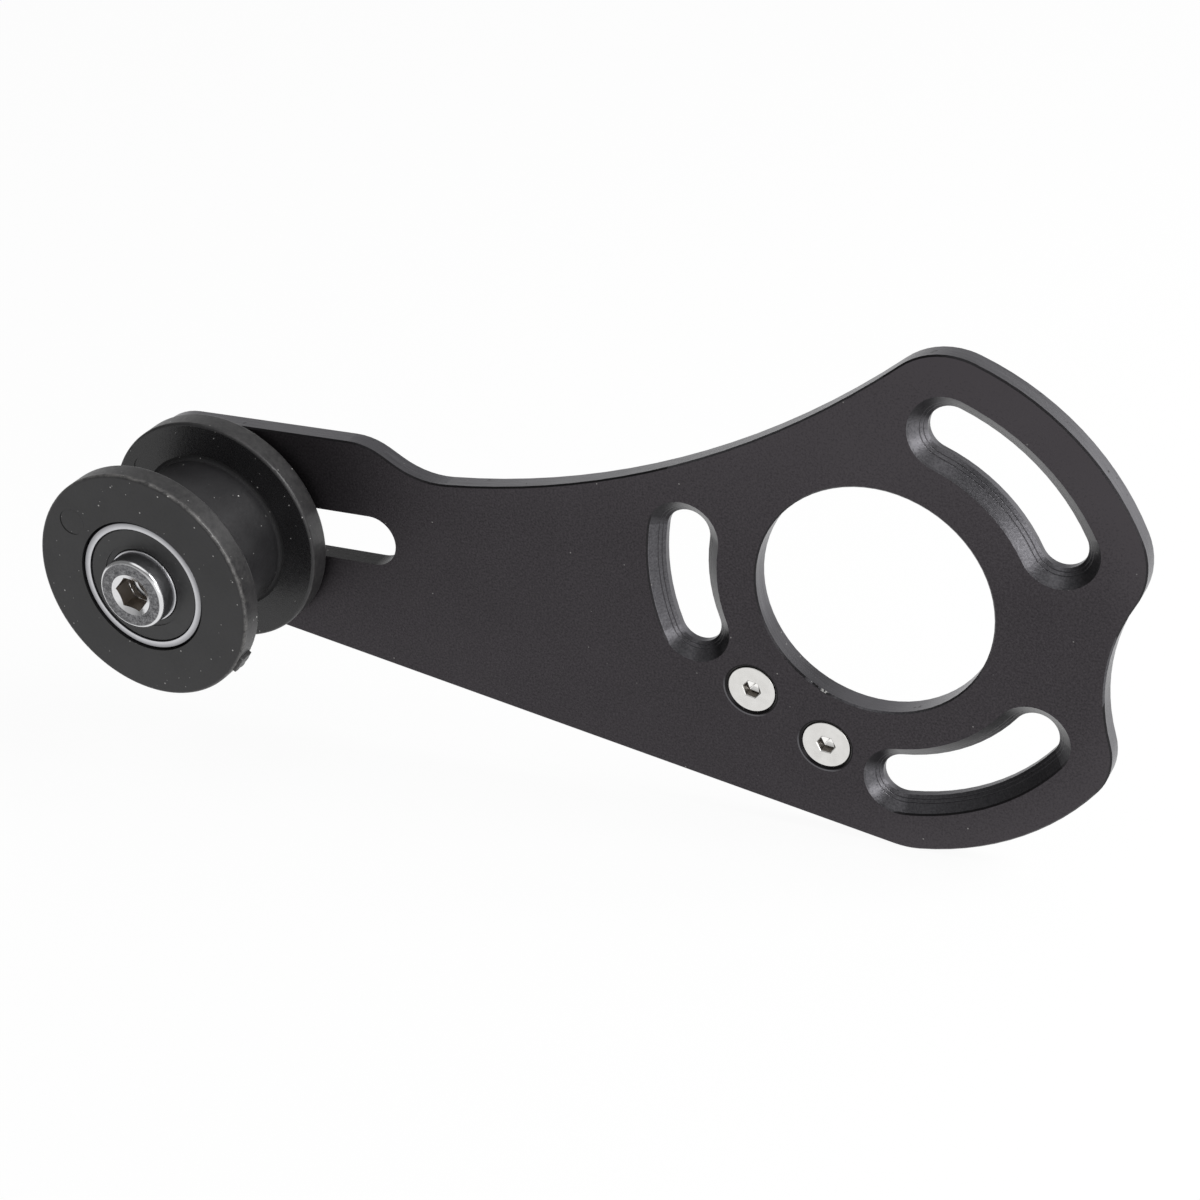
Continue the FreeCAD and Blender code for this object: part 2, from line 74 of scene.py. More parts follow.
# The screw holes' shaded reach, and where painted shade rings and painted highlight arcs lie round them:
SCREW_HOLE_R, SHADED_RIM_R = 4.3, (4.26, 4.34)
LIT_RIM_R, LIT_RIM_HALF, LIT_RIM_WAY = 4.34, 0.13, (-0.64, 0, -0.77)
SLOT_BAND_R, LEFT_SLOT_X = (29.2, 5.6), (-15.0, -19.0)
LOW_BORE_Z, LOW_BORE_LEFT_X, LOW_BORE_RIGHT_X = (-4.0, -8.0), (-4.0, -10.0), (-10.0, -2.0)
EDGE_BREAK_END_Y = -3.05
BORE_EDGE_R, BORE_EDGE_HALF = 17.95, 0.16
DARK_EDGE_X, WHOLE_EDGE_X = (-9.0, -1.0), (-10.0, -12.0)
NICKED_DEG, NICKED_SPREAD_DEG = 241.5, 5.0


def add(tree, kind, inputs=None, **settings):
    """Adds a shader node, with a value or a link for each named or numbered input."""
    made = tree.nodes.new(kind)
    for name, value in settings.items():
        setattr(made, name, value)
    for key, value in (inputs or {}).items():
        if isinstance(value, bpy.types.NodeSocket):
            tree.links.new(value, made.inputs[key])
        else:
            made.inputs[key].default_value = value
    return made


def new_finish(name):
    """A material with an empty node tree: its tree, the place in metres and how a surface faces along Y."""
    material = bpy.data.materials.new(name)
    material.use_nodes = True
    tree = material.node_tree
    tree.nodes.clear()
    coordinates = add(tree, "ShaderNodeTexCoord").outputs
    facing = add(tree, "ShaderNodeSeparateXYZ", {0: coordinates["Normal"]}).outputs[1]
    return material, tree, coordinates["Object"], facing


def finish_surface(tree, **inputs):
    """Ends a material in one principled surface."""
    surface = add(tree, "ShaderNodeBsdfPrincipled", {k.replace("_", " "): v for k, v in inputs.items()})
    add(tree, "ShaderNodeOutputMaterial", {"Surface": surface.outputs[0]})


def maths(tree, operation, *values):
    """One arithmetic node's result."""
    return add(tree, "ShaderNodeMath", dict(enumerate(values)), operation=operation).outputs[0]


def both(tree, *shares):
    """The share of a surface where all of these hold."""
    result = shares[0]
    for share in shares[1:]:
        result = maths(tree, "MULTIPLY", result, share)
    return result


def most(tree, *shares):
    """The largest of these shares."""
    result = shares[0]
    for share in shares[1:]:
        result = maths(tree, "MAXIMUM", result, share)
    return result


def within(tree, value, middle, reach):
    """One where a value lies within reach of a middle, and nought elsewhere."""
    return maths(tree, "COMPARE", value, middle, reach)


def ramp(tree, value, low, high, out_low=0.0, out_high=1.0):
    """A value carried from one range to another, held at its ends."""
    return add(tree, "ShaderNodeMapRange", {0: value, 1: low, 2: high, 3: out_low, 4: out_high}).outputs[0]


def span(tree, place, ends, out_low=0.0, out_high=1.0):
    """A ramp between two places in millimetres."""
    return ramp(tree, place, ends[0] * mm, ends[1] * mm, out_low, out_high)


def dot(tree, way_a, way_b):
    """How far one way runs along another."""
    return add(tree, "ShaderNodeVectorMath", {0: way_a, 1: way_b}, operation="DOT_PRODUCT").outputs["Value"]


def noise(tree, vector, scale, detail=3.0, roughness=0.55):
    """The grey value of a noise of this many grains a metre."""
    inputs = {"Vector": vector, "Scale": scale, "Detail": detail, "Roughness": roughness}
    return add(tree, "ShaderNodeTexNoise", inputs).outputs[0]


def blend_tone(tree, share, tone_a, tone_b):
    """A colour between two tones."""
    return add(tree, "ShaderNodeMix", {0: share, 6: tone_a, 7: tone_b}, data_type="RGBA").outputs[2]


def bump(tree, height, distance, strength=1.0, normal=None):
    """A surface normal from a height."""
    inputs = {"Height": height, "Distance": distance, "Strength": strength}
    if normal is not None:
        inputs["Normal"] = normal
    return add(tree, "ShaderNodeBump", inputs).outputs[0]


def from_axis(tree, where, axis):
    """The flat way out from an axis along Y at (x, z) millimetres, and its length in millimetres."""
    shift, scale = (-axis[0], 0, -axis[1]), (1 / mm, 0, 1 / mm)
    way_out = add(tree, "ShaderNodeMapping", {0: where, 1: shift, 3: scale}).outputs[0]
    return way_out, add(tree, "ShaderNodeVectorMath", {0: way_out}, operation="LENGTH").outputs["Value"]


def dust(tree, where, cells, reach, share):
    """Sparse specks: the middles of some random cells that the surface passes through, each this small."""
    spots = add(tree, "ShaderNodeTexVoronoi", {"Vector": where, "Scale": cells})
    lucky = add(tree, "ShaderNodeSeparateColor", {0: spots.outputs["Color"]}).outputs[0]
    near = ramp(tree, spots.outputs["Distance"], reach, reach * 0.4)
    return both(tree, near, maths(tree, "LESS_THAN", lucky, share))


def wear_finish(node, material):
    """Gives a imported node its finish."""
    slots = nodes[node].data.materials
    slots.clear()
    slots.append(material)


def plate_face(tree, x, z, from_bore, grain):
    """Grainy black, with painted light towards the head's top and rim."""
    at_rim = both(tree, ramp(tree, from_bore, *HEAD_RIM_R), span(tree, x, HEAD_X))
    face_painted_light = maths(tree, "MULTIPLY_ADD", span(tree, z, HEAD_TOP_Z), 0.42, both(tree, at_rim, 0.40))
    share = maths(tree, "ADD", ramp(tree, grain, 0.30, 0.70), face_painted_light)
    return blend_tone(tree, share, FACE_DARK, FACE_LIGHT)


def screw_rims(tree, where):
    """The shaded screw holes, painted shade in rings round them and painted highlights in arcs at their lower
    left.
    """
    holes, shaded_rims, lit_rims = [], [], []
    for axis in SCREW_PLACES.values():
        way_out, from_hole = from_axis(tree, where, axis)
        holes.append(both(tree, maths(tree, "LESS_THAN", from_hole, SCREW_HOLE_R), 0.97))
        shaded_rims.append(ramp(tree, from_hole, *SHADED_RIM_R, 0.9, 0.0))
        painted_low_left = ramp(tree, dot(tree, way_out, LIT_RIM_WAY), 1.2, 3.0, 0.0, 0.75)
        lit_rims.append(both(tree, within(tree, from_hole, LIT_RIM_R, LIT_RIM_HALF), painted_low_left))
    return [most(tree, *shares) for shares in (holes, shaded_rims, lit_rims)]


def shaded_edge_breaks(tree, where, x, y, from_bore):
    """Painted shade on the front edges: full at the outline, faint at the slots, and in dashes low on the
    bore.
    """
    whole = most(tree, ramp(tree, noise(tree, where, 1100, 2.0), 0.36, 0.48), span(tree, x, WHOLE_EDGE_X))
    dashes = both(tree, span(tree, x, DARK_EDGE_X, 1.0, 0.0), whole)
    edges = most(tree, maths(tree, "GREATER_THAN", from_bore, BORE_EDGE_R + 1), dashes)
    share = maths(tree, "MULTIPLY_ADD", within(tree, from_bore, *SLOT_BAND_R), -0.7, 0.9)
    return both(tree, maths(tree, "LESS_THAN", y, EDGE_BREAK_END_Y * mm), edges, share)


def bore_nicks(tree, where, way_out, from_bore):
    """Bare metal on the bore's front edge, low on the left."""
    turn = math.radians(NICKED_DEG)
    straight_out = add(tree, "ShaderNodeVectorMath", {0: way_out}, operation="NORMALIZE").outputs[0]
    near = maths(tree, "GREATER_THAN", dot(tree, straight_out, (math.cos(turn), 0, math.sin(turn))),
                 math.cos(math.radians(NICKED_SPREAD_DEG)))
    return both(tree, within(tree, from_bore, BORE_EDGE_R, BORE_EDGE_HALF), near,
                ramp(tree, noise(tree, where, 1500, 2.0), 0.52, 0.57))


def black_anodised():
    material, tree, where, facing = new_finish("black_anodised")
    x, y, z = add(tree, "ShaderNodeSeparateXYZ", {0: where}).outputs
    normal = add(tree, "ShaderNodeTexCoord").outputs["Normal"]
    faces_x, _, faces_z = add(tree, "ShaderNodeSeparateXYZ", {0: normal}).outputs
    on_face = ramp(tree, maths(tree, "ABSOLUTE", facing), 0.80, 0.95)
    off_face = maths(tree, "SUBTRACT", 1.0, on_face)
    on_cone = both(tree, off_face, ramp(tree, facing, -0.4, -0.6))
    on_wall = maths(tree, "SUBTRACT", off_face, on_cone)
    way_out, from_bore = from_axis(tree, where, (0, 0))
    in_bore = both(tree, on_wall, maths(tree, "LESS_THAN", from_bore, BORE_EDGE_R))
    low_bore = both(tree, in_bore, span(tree, z, LOW_BORE_Z))

    grain = noise(tree, where, BLAST_GRAINS, 2.0, 0.7)
    cloud = noise(tree, where, 70, 4.0, 0.6)
    along_cut = add(tree, "ShaderNodeMapping", {0: where, 3: (0.10, 5.0, 0.10)}).outputs[0]
    tool_lines = noise(tree, along_cut, 1500, 3.0, 0.65)
    stripes = both(tree, ramp(tree, tool_lines, 0.3, 0.7), on_wall)
    pitting = both(tree, ramp(tree, grain, 0.30, 0.70), on_cone)
    cut_tone = blend_tone(tree, most(tree, stripes, pitting), CUT_DARK, CUT_LIGHT)
    # A painted highlight on a patch of one countersink.
    _, from_spot = from_axis(tree, where, LIT_SPOT_PLACE)
    countersink_highlight = both(tree, ramp(tree, from_spot, *LIT_SPOT_REACH), on_cone, ramp(tree, grain, 0.25, 0.6))
    cut_tone = blend_tone(tree, countersink_highlight, cut_tone, PAINTED_LIT_CUT)
    # Painted light on the bore's wall, low on the right.
    lit_low_bore = both(tree, low_bore, span(tree, x, LOW_BORE_RIGHT_X))
    cut_tone = blend_tone(tree, lit_low_bore, cut_tone, PAINTED_LIT_CUT)

    # The tool steps are drawn as fine lines of painted shade.
    steps = 0.0
    for step_y in TOOL_STEPS_Y:
        off_step = maths(tree, "ABSOLUTE", maths(tree, "SUBTRACT", y, step_y * mm))
        steps = most(tree, steps, span(tree, off_step, TOOL_STEP_WIDTHS, 1.0, 0.0))
    steps = both(tree, steps, on_cone)
    chips = both(tree, on_wall, ramp(tree, noise(tree, where, 700, 2.0), 0.70, 0.73))
    # Painted shade inside the arm slot.
    shaded_arm_slot = both(tree, within(tree, x, ARM_SLOT_MIDDLE[0] * mm, ARM_SLOT_HALF[0] * mm),
                       within(tree, z, ARM_SLOT_MIDDLE[1] * mm, ARM_SLOT_HALF[1] * mm))
    # Painted shade on countersinks that face down or to the left.
    faces_down = ramp(tree, faces_z, -0.05, -0.35, 0.0, 0.75)
    faces_left = ramp(tree, faces_x, -0.15, -0.50, 0.0, 0.75)
    shaded_overhang = both(tree, most(tree, faces_down, faces_left), on_cone)
    # Painted shade low on the bore's left, and on the left slot's countersink.
    painted_low_left = both(tree, low_bore, span(tree, x, LOW_BORE_LEFT_X, 0.0, 0.45))
    in_slots = both(tree, on_cone, within(tree, from_bore, *SLOT_BAND_R))
    shaded_left_slot = both(tree, in_slots, span(tree, x, LEFT_SLOT_X, 0.0, 0.22))
    holes, shaded_rims, lit_rims = screw_rims(tree, where)
    edges = shaded_edge_breaks(tree, where, x, y, from_bore)
    # Painted shade in the tool steps, broken edges, arm slot, screw holes, overhung countersinks, the bore's
    # low left and the left slot, with dark chips on the cut walls.
    shade_and_chips = most(tree, both(tree, steps, 0.6), both(tree, chips, 0.8), edges, shaded_arm_slot, holes, shaded_overhang,
                painted_low_left, shaded_left_slot)
    cut_tone = blend_tone(tree, shade_and_chips, cut_tone, SHADED_CUT)

    tone = blend_tone(tree, on_face, cut_tone, plate_face(tree, x, z, from_bore, grain))
    # Painted shade round the screw holes and painted highlights at their lower left.
    tone = blend_tone(tree, shaded_rims, tone, SHADED_CUT)
    tone = blend_tone(tree, lit_rims, tone, CUT_LIGHT)
    specks = both(tree, dust(tree, where, 300, 0.045, 0.8), 0.7)
    tone = blend_tone(tree, specks, tone, PLATE_DUST)
    nicks = both(tree, bore_nicks(tree, where, way_out, from_bore), on_cone)
    tone = blend_tone(tree, nicks, tone, BARE_METAL)

    cloud_rough = ramp(tree, cloud, 0.3, 0.7, -0.03, 0.03)
    rough = maths(tree, "ADD", ramp(tree, on_face, 0, 1, 0.32, 0.50), cloud_rough)
    blast = bump(tree, grain, BLAST_DEPTH * mm, 0.5)
    cut_height = maths(tree, "SUBTRACT", both(tree, tool_lines, on_wall), steps)
    finish_surface(tree, Base_Color=tone, Metallic=0.9, Roughness=rough,
                   Normal=bump(tree, cut_height, BLAST_DEPTH * mm, 0.5, blast))
    return material


wear_finish("plate", black_anodised())

# The two flat-headed screws: stainless steel, cold headed with a hexagon socket, with rolled threads.
# They are satin on the face, and sunk just below the plate's face in countersunk holes.
SATIN_DARK, SATIN_LIGHT = (0.70, 0.69, 0.67, 1), (0.80, 0.79, 0.77, 1)
# A painted-shade tone for the socket walls and a painted-highlight tone for the socket floor:
SHADED_SOCKET_WALL, LIT_SOCKET_FLOOR, SOCKET_FLOOR_DEPTH = (0.14, 0.12, 0.10, 1), (0.95, 0.94, 0.92, 1), 0.8
TURN_STEPS = 120
SCREW_FACE_Y = -3.15
SCREW_RIM_R, SCREW_RIM_ROUND, SCREW_RIM_END_Y, SCREW_CONE_END_Y = 3.75, 0.15, -2.95, -1.20
SCREW_KEY, SCREW_KEY_BEVEL, SCREW_KEY_BOTTOM_Y, SCREW_KEY_POINT_Y = 2.5, 0.12, -1.48, -0.78
SCREW_KEY_TURNS = {"upper_flat_screw": 47.0, "lower_flat_screw": 54.0}
SCREW_CREST_R, SCREW_ROOT_R, SCREW_PITCH, SCREW_TURNS = 1.97, 1.60, 0.7, 5
SCREW_NECK, SCREW_RUN_IN = 0.3, 0.05
SCREW_TIP_Y, SCREW_TIP_LENGTH, SCREW_TIP_BEVEL = 3.80, 0.2, 0.15


def spin_profile(bm, profile, axis, start_deg=0.0, climb=0.0):
    """Spins (radius, y) points, in millimetres, once round an axis along Y, closed or climbing as a helix."""
    x, z = axis
    out_x, out_z = math.cos(math.radians(start_deg)), math.sin(math.radians(start_deg))
    verts = [bm.verts.new(((x + r * out_x) * mm, y * mm, (z + r * out_z) * mm)) for r, y in profile]
    edges = [bm.edges.new(pair) for pair in zip(verts, verts[1:])]
    bmesh.ops.spin(bm, geom=verts + edges, cent=(x * mm, 0, z * mm), axis=(0, 1, 0), angle=2 * math.pi,
                   steps=TURN_STEPS, dvec=(0, climb * mm / TURN_STEPS, 0), use_merge=climb == 0)


def open_edges(bm, y_low, y_high):
    """The open edges between two stations."""
    low, high = (y_low - 0.001) * mm, (y_high + 0.001) * mm
    return [e for e in bm.edges if e.is_boundary and all(low <= v.co.y <= high for v in e.verts)]


def pull_ring(bm, edges, axis, shape):
    """Extrudes open edges to where shape(angle in degrees) gives a (radius, y), in millimetres."""
    made = bmesh.ops.extrude_edge_only(bm, edges=edges)["geom"]
    x, z = axis
    for v in (g for g in made if isinstance(g, bmesh.types.BMVert)):
        angle = math.atan2(v.co.z - z * mm, v.co.x - x * mm)
        radius, y = shape(math.degrees(angle))
        v.co = ((x + radius * math.cos(angle)) * mm, y * mm, (z + radius * math.sin(angle)) * mm)
    return [g for g in made if isinstance(g, bmesh.types.BMEdge)]


def pull_round(bm, edges, axis, radius, y):
    """Extrudes open edges to a circle."""
    return pull_ring(bm, edges, axis, lambda degrees: (radius, y))


def pull_hexagon(bm, edges, axis, across, turn, station):
    """Extrudes open edges to a hexagon, at the station that each reach from its middle gives."""
    def shape(degrees):
        reach = across / 2 / math.cos(math.radians((degrees - turn) % 60 - 30))
        return reach, station(reach)

    return pull_ring(bm, edges, axis, shape)


def thread(bm, axis, root_r, crest_r, pitch, y_start, turns, y_before, y_after, start_deg=0.0):
    """A right-hand thread: a row of teeth spun once round while it climbs one pitch, run out at both ends."""
    teeth = []
    for i in range(turns):
        y = y_start + i * pitch
        teeth += [(root_r, y), (root_r, y + pitch / 4)]
        teeth += [(crest_r, y + pitch * 9 / 16), (crest_r, y + pitch * 11 / 16)]
    y_end = y_start + turns * pitch
    spin_profile(bm, teeth + [(root_r, y_end)], axis, start_deg, climb=pitch)
    bmesh.ops.remove_doubles(bm, verts=bm.verts, dist=1e-7)
    pull_round(bm, open_edges(bm, y_start, y_start + pitch), axis, root_r, y_before)
    pull_round(bm, open_edges(bm, y_end, y_end + pitch), axis, root_r, y_after)


def rounded(radius, y, size, steps=6):
    """A quarter round at a rim, from its face to its side."""
    turns = [math.pi / 2 * i / steps for i in range(steps + 1)]
    return [(radius - size + size * math.sin(a), y + size - size * math.cos(a)) for a in turns]


def finish_piece(bm, name, material, sharp_deg=32):
    """Closes a mesh, faces it outwards and puts it in the scene."""
    bmesh.ops.remove_doubles(bm, verts=bm.verts, dist=2e-7)
    bmesh.ops.dissolve_degenerate(bm, edges=bm.edges, dist=1e-7)
    bmesh.ops.recalc_face_normals(bm, faces=bm.faces)
    mesh = bpy.data.meshes.new(name)
    bm.to_mesh(mesh)
    bm.free()
    mesh.shade_smooth()
    mesh.set_sharp_from_angle(angle=math.radians(sharp_deg))
    mesh.materials.append(material)
    piece = bpy.data.objects.new(name, mesh)
    bpy.context.scene.collection.objects.link(piece)
    return piece


def satin_stainless():
    material, tree, where, facing = new_finish("satin_stainless")
    y = add(tree, "ShaderNodeSeparateXYZ", {0: where}).outputs[1]
    cloud = noise(tree, where, 700, 4.0)
    fine = noise(tree, where, 7000, 2.0)
    tone = blend_tone(tree, ramp(tree, cloud, 0.3, 0.7), SATIN_DARK, SATIN_LIGHT)
    # Painted shade on the socket's walls, and a painted highlight on its floor.
    on_wall = ramp(tree, maths(tree, "ABSOLUTE", facing), 0.5, 0.3)
    tone = blend_tone(tree, both(tree, on_wall, 0.75), tone, SHADED_SOCKET_WALL)
    at_floor = within(tree, y, SCREW_KEY_POINT_Y * mm, SOCKET_FLOOR_DEPTH * mm)
    in_socket = both(tree, at_floor, ramp(tree, facing, -0.4, -0.6))
    tone = blend_tone(tree, in_socket, tone, LIT_SOCKET_FLOOR)
    rough = both(tree, ramp(tree, cloud, 0.3, 0.7, 0.26, 0.36), ramp(tree, in_socket, 0, 1, 1.0, 0.4))
    finish_surface(tree, Base_Color=tone, Metallic=1.0, Roughness=rough,
                   Normal=bump(tree, fine, 0.00001, 0.3))
    return material


screw_steel = satin_stainless()
for node, axis in SCREW_PLACES.items():
    turn = SCREW_KEY_TURNS[node]
    key_circle = SCREW_KEY / math.sqrt(3) + 2 * SCREW_KEY_BEVEL
    neck_y = SCREW_CONE_END_Y + SCREW_NECK
    shank_y = neck_y + SCREW_CREST_R - SCREW_ROOT_R
    bm = bmesh.new()
    spin_profile(bm, [(key_circle, SCREW_FACE_Y)] + rounded(SCREW_RIM_R, SCREW_FACE_Y, SCREW_RIM_ROUND) + [
        (SCREW_RIM_R, SCREW_RIM_END_Y), (SCREW_CREST_R, SCREW_CONE_END_Y), (SCREW_CREST_R, neck_y),
        (SCREW_ROOT_R, shank_y)], axis, turn)
    ring = open_edges(bm, SCREW_FACE_Y, SCREW_FACE_Y)
    for across, y in ((SCREW_KEY + 2 * SCREW_KEY_BEVEL, SCREW_FACE_Y),
                      (SCREW_KEY, SCREW_FACE_Y + SCREW_KEY_BEVEL), (SCREW_KEY, SCREW_KEY_BOTTOM_Y)):
        ring = pull_hexagon(bm, ring, axis, across, turn, lambda reach, y=y: y)
    pull_round(bm, ring, axis, 0.0, SCREW_KEY_POINT_Y)
    tail_y = SCREW_TIP_Y - SCREW_TIP_LENGTH
    thread(bm, axis, SCREW_ROOT_R, SCREW_CREST_R, SCREW_PITCH, shank_y + SCREW_RUN_IN, SCREW_TURNS,
           shank_y, tail_y, turn)
    tip = pull_round(bm, open_edges(bm, tail_y, tail_y), axis, SCREW_ROOT_R - SCREW_TIP_BEVEL, SCREW_TIP_Y)
    pull_round(bm, tip, axis, 0.0, SCREW_TIP_Y)
    screw = finish_piece(bm, node.replace("flat", "countersunk"), screw_steel)
    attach(screw, "plate")
    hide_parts(node)

# The nuts behind the plate: stainless hexagon nuts on the two flat-headed screws.
# They are pressed from bar, tapped and chamfered on the far side.
for node in ("upper_screw_nut", "lower_screw_nut"):
    wear_finish(node, screw_steel)

# The roller: one black rubbery moulding with two flanges and a smooth groove for the chain.
# The skin is dull, dusty and scuffed on its rims, and keeps the mark of a mould pin and a torn gate stub.
ROLLER_AXIS = (-109.2, -3.3)
ROLLER_FRONT_Y = -27.7
RIM_SCUFF_R, RIM_SCUFF_Y = (18.35, 18.65), (-26.9, -27.4)
RUBBER_DARK = (0.011, 0.0107, 0.0115, 1)
RUBBER_LIGHT = (0.018, 0.0175, 0.0187, 1)
# A painted-shade tone, for the crescent at the mould pin mark:
RUBBER_SHADE = (0.001, 0.001, 0.001, 1)
RUBBER_DUST = (0.55, 0.54, 0.53, 1)
RUBBER_SCUFF = (0.17, 0.165, 0.16, 1)
PIN_MARK_PLACE = (-120.2, 6.2)
PIN_MARK_EDGE_PLACE = (-120.43, 6.06)
PIN_MARK_R = 2.1
PIN_MARK_STAND, PIN_MARK_SINK, PIN_MARK_BEVEL = 0.015, 0.02, 0.01
GROOVE_CORNER, GROOVE_CORNER_HALF = (12.9, -8.7), 0.4
GROOVE_MIDDLE_Y, GROOVE_HALF, INNER_FACE_R = -16.15, 7.75, 18.3
GATE_DEG = -37.0
GATE_PLACE = (18.75, -25.7)
GATE_SIZE = (0.9, 2.6, 3.0)


def moulded_rubber():
    material, tree, where, facing = new_finish("moulded_rubber")
    y = add(tree, "ShaderNodeSeparateXYZ", {0: where}).outputs[1]
    skin = noise(tree, where, 2200, 3.0)
    cloud = noise(tree, where, 130, 4.0)
    tone = blend_tone(tree, ramp(tree, cloud, 0.3, 0.7), RUBBER_DARK, RUBBER_LIGHT)
    _, reach = from_axis(tree, where, ROLLER_AXIS)
    at_edge = span(tree, y, RIM_SCUFF_Y, 0.15, 0.85)
    scuffs = both(tree, ramp(tree, reach, *RIM_SCUFF_R), at_edge,
                  ramp(tree, noise(tree, where, 900, 6.0, 0.8), 0.35, 0.70))
    tone = blend_tone(tree, scuffs, tone, RUBBER_SCUFF)
    # Painted shade: a dark crescent on one side of the mould pin mark's edge.
    _, from_mark = from_axis(tree, where, PIN_MARK_PLACE)
    _, from_edge = from_axis(tree, where, PIN_MARK_EDGE_PLACE)
    shaded_crescent = both(tree, maths(tree, "GREATER_THAN", from_mark, PIN_MARK_R),
                    maths(tree, "LESS_THAN", from_edge, PIN_MARK_R), maths(tree, "LESS_THAN", facing, -0.9))
    tone = blend_tone(tree, shaded_crescent, tone, RUBBER_SHADE)
    specks = most(tree, dust(tree, where, 480, 0.075, 1.0), dust(tree, where, 900, 0.080, 0.40))
    tone = blend_tone(tree, both(tree, specks, 0.85), tone, RUBBER_DUST)
    in_corner = both(tree, within(tree, reach, GROOVE_CORNER[0], GROOVE_CORNER_HALF),
                     within(tree, y, GROOVE_CORNER[1] * mm, GROOVE_CORNER_HALF * mm))
    dull = both(tree, most(tree, in_corner, shaded_crescent), 0.9)
    inner_faces = both(tree, within(tree, y, GROOVE_MIDDLE_Y * mm, GROOVE_HALF * mm),
                       maths(tree, "LESS_THAN", reach, INNER_FACE_R),
                       ramp(tree, maths(tree, "ABSOLUTE", facing), 0.7, 0.9))
    skin_rough = maths(tree, "MULTIPLY_ADD", inner_faces, -0.16, ramp(tree, skin, 0.3, 0.7, 0.36, 0.46))
    finish_surface(tree, Base_Color=tone, Roughness=most(tree, skin_rough, dull), Specular_IOR_Level=0.43,
                   Normal=bump(tree, skin, 0.00003, 0.4))
    return material


rubber = moulded_rubber()
wear_finish("roller", rubber)

mark_front_y = ROLLER_FRONT_Y - PIN_MARK_STAND
mark_back_y = ROLLER_FRONT_Y + PIN_MARK_SINK
bm = bmesh.new()
spin_profile(bm, [(0.0, mark_front_y), (PIN_MARK_R - PIN_MARK_BEVEL, mark_front_y),
                  (PIN_MARK_R, mark_back_y), (0.0, mark_back_y)], PIN_MARK_PLACE)
pin_mark = finish_piece(bm, "mould_pin_mark", rubber)
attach(pin_mark, "roller")

bm = bmesh.new()
gate_x, gate_y = GATE_PLACE
stub_size = Matrix.Diagonal([s * mm for s in GATE_SIZE] + [1])
stub_form = Matrix.Translation((gate_x * mm, gate_y * mm, 0)) @ stub_size
bmesh.ops.create_cube(bm, size=1.0, matrix=stub_form)
bmesh.ops.subdivide_edges(bm, edges=bm.edges, cuts=3, use_grid_fill=True)
for v in bm.verts:
    if v.co.x > gate_x * mm:
        tear = math.sin(v.co.y * 5200) * 0.04 + math.sin(v.co.z * 3100 + 1.0) * 0.06
        v.co.x += tear * mm
stand = Matrix.Translation((ROLLER_AXIS[0] * mm, 0, ROLLER_AXIS[1] * mm))
bmesh.ops.transform(bm, matrix=stand @ Matrix.Rotation(-math.radians(GATE_DEG), 4, "Y"), verts=bm.verts)
bmesh.ops.bevel(bm, geom=[e for e in bm.edges if e.calc_face_angle(0) > 1.0], offset=0.08 * mm, segments=2,
                profile=0.5, affect="EDGES", material=-1)
gate_stub = finish_piece(bm, "gate_stub", rubber)
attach(gate_stub, "roller")

# The two ball bearings: ground steel rings and balls, nylon cages, and black rubber seals in the outer rings.
# They are pushed into the roller's ends, and their inner rings are clamped on the sleeve.
STEEL_DARK, STEEL_LIGHT = (0.50, 0.50, 0.52, 1), (0.63, 0.63, 0.65, 1)
# A painted-shade tone, for the outer edge of the outer rings:
RING_SHADE, RING_SHADE_R = (0.20, 0.20, 0.21, 1), (9.9, 10.7)
SEAL_DARK, SEAL_LIGHT, SEAL_DUST = (0.014, 0.014, 0.015, 1), (0.034, 0.034, 0.035, 1), (0.4, 0.39, 0.38, 1)
NYLON_DARK, NYLON_LIGHT = (0.68, 0.64, 0.54, 1), (0.76, 0.72, 0.62, 1)


def ring_lines(tree, where, axis, lines):
    """Fine noise that runs in circles about an axis along Y, this many lines a millimetre."""
    _, reach = from_axis(tree, where, axis)
    along = add(tree, "ShaderNodeCombineXYZ", {0: reach}).outputs[0]
    return noise(tree, along, lines, 3.0, 0.7)


def ground_steel():
    material, tree, where, _ = new_finish("ground_steel")
    lines = ring_lines(tree, where, ROLLER_AXIS, 6.0)
    fine = noise(tree, where, 900, 3.0)
    tone = blend_tone(tree, fine, STEEL_DARK, STEEL_LIGHT)
    _, reach = from_axis(tree, where, ROLLER_AXIS)
    # Painted shade towards the outer edge of the outer rings' faces.
    tone = blend_tone(tree, ramp(tree, reach, *RING_SHADE_R), tone, RING_SHADE)
    finish_surface(tree, Base_Color=tone, Metallic=1.0, Roughness=ramp(tree, lines, 0.3, 0.7, 0.24, 0.36),
                   Normal=bump(tree, lines, 0.00001, 0.4))
    return material


def seal_rubber():
    material, tree, where, _ = new_finish("seal_rubber")
    smear = noise(tree, where, 500, 4.0, 0.6)
    lines = ring_lines(tree, where, ROLLER_AXIS, 2.5)
    tone = blend_tone(tree, ramp(tree, smear, 0.35, 0.7), SEAL_DARK, SEAL_LIGHT)
    specks = both(tree, dust(tree, where, 700, 0.07, 0.5), 0.5)
    tone = blend_tone(tree, specks, tone, SEAL_DUST)
    finish_surface(tree, Base_Color=tone, Roughness=ramp(tree, smear, 0.3, 0.7, 0.36, 0.55),
                   Normal=bump(tree, lines, 0.00002, 0.3))
    return material


def cage_nylon():
    material, tree, where, _ = new_finish("cage_nylon")
    fine = noise(tree, where, 1200, 3.0)
    tone = blend_tone(tree, fine, NYLON_DARK, NYLON_LIGHT)
    finish_surface(tree, Base_Color=tone, Roughness=ramp(tree, fine, 0.3, 0.7, 0.45, 0.6))
    return material


